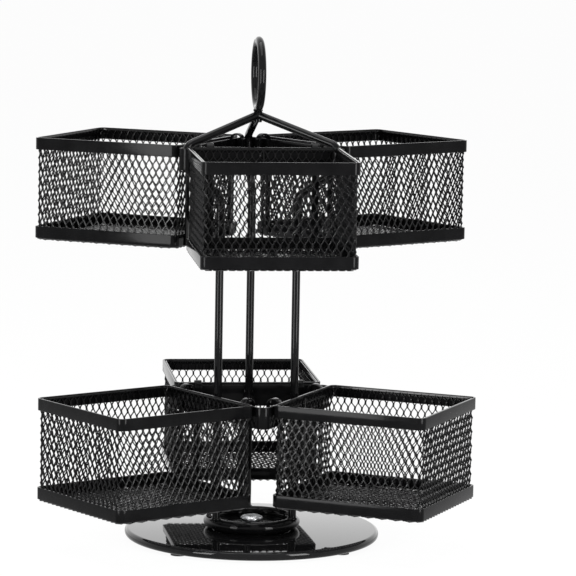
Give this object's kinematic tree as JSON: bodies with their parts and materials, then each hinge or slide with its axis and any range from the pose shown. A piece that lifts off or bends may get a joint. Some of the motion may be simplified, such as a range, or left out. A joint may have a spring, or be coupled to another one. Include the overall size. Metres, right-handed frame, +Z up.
{
  "type": "rotating tool caddy",
  "caption": "Rotating tool caddy: round base, turntable, bent-wire frame with triangular strip bands, lift-off mesh baskets on hooked straps and a ring handle.",
  "frame": {"origin": "on the turning axis at the level of the surface it stands on, which is the middle of the underside of the bounding box", "axes": "+Z up along the turning axis; -Y is the front, the side nearest the camera; +X to the right seen from the front"},
  "size_m": [0.2558, 0.248, 0.2965],
  "materials": {
    "black_paint": "gloss",
    "zinc_plate": "bright zinc plate",
    "nylon": "satin",
    "foot_rubber": "matt"
  },
  "bodies": {
    "base": {"base_pan": "black_paint", "base_feet": "foot_rubber", "thrust_washer": "nylon", "pivot_bush": "zinc_plate", "head_washer": "zinc_plate", "lock_nut": "zinc_plate", "pivot_screw": "zinc_plate"},
    "carousel": {"turntable_dish": "black_paint", "upright_left": "black_paint", "upright_right": "black_paint", "upright_back": "black_paint", "lower_band": "black_paint", "upper_band": "black_paint", "handle_ring": "black_paint"},
    "lower_left_basket": {"lower_left_mesh_walls": "black_paint", "lower_left_mesh_floor": "black_paint", "lower_left_top_rim": "black_paint", "lower_left_bottom_rim": "black_paint", "lower_left_hook_straps": "black_paint"},
    "lower_right_basket": {"lower_right_mesh_walls": "black_paint", "lower_right_mesh_floor": "black_paint", "lower_right_top_rim": "black_paint", "lower_right_bottom_rim": "black_paint", "lower_right_hook_straps": "black_paint"},
    "lower_back_basket": {"lower_back_mesh_walls": "black_paint", "lower_back_mesh_floor": "black_paint", "lower_back_top_rim": "black_paint", "lower_back_bottom_rim": "black_paint", "lower_back_hook_straps": "black_paint"},
    "upper_front_basket": {"upper_front_mesh_walls": "black_paint", "upper_front_mesh_floor": "black_paint", "upper_front_top_rim": "black_paint", "upper_front_bottom_rim": "black_paint", "upper_front_hook_straps": "black_paint"},
    "upper_right_basket": {"upper_right_mesh_walls": "black_paint", "upper_right_mesh_floor": "black_paint", "upper_right_top_rim": "black_paint", "upper_right_bottom_rim": "black_paint", "upper_right_hook_straps": "black_paint"},
    "upper_left_basket": {"upper_left_mesh_walls": "black_paint", "upper_left_mesh_floor": "black_paint", "upper_left_top_rim": "black_paint", "upper_left_bottom_rim": "black_paint", "upper_left_hook_straps": "black_paint"}
  },
  "joints": [
    {"name": "carousel_spin", "type": "hinge", "parent": "base", "child": "carousel", "pos_m": [0, 0, 0.0087], "axis": [0, 0, 1], "continuous": true},
    {"name": "lower_left_lift", "type": "slide", "parent": "carousel", "child": "lower_left_basket", "axis": [0, 0, 1], "range_m": [0, 0.018]},
    {"name": "lower_right_lift", "type": "slide", "parent": "carousel", "child": "lower_right_basket", "axis": [0, 0, 1], "range_m": [0, 0.018]},
    {"name": "lower_back_lift", "type": "slide", "parent": "carousel", "child": "lower_back_basket", "axis": [0, 0, 1], "range_m": [0, 0.018]},
    {"name": "upper_front_lift", "type": "slide", "parent": "carousel", "child": "upper_front_basket", "axis": [0, 0, 1], "range_m": [0, 0.018]},
    {"name": "upper_right_lift", "type": "slide", "parent": "carousel", "child": "upper_right_basket", "axis": [0, 0, 1], "range_m": [0, 0.018]},
    {"name": "upper_left_lift", "type": "slide", "parent": "carousel", "child": "upper_left_basket", "axis": [0, 0, 1], "range_m": [0, 0.018]}
  ]
}
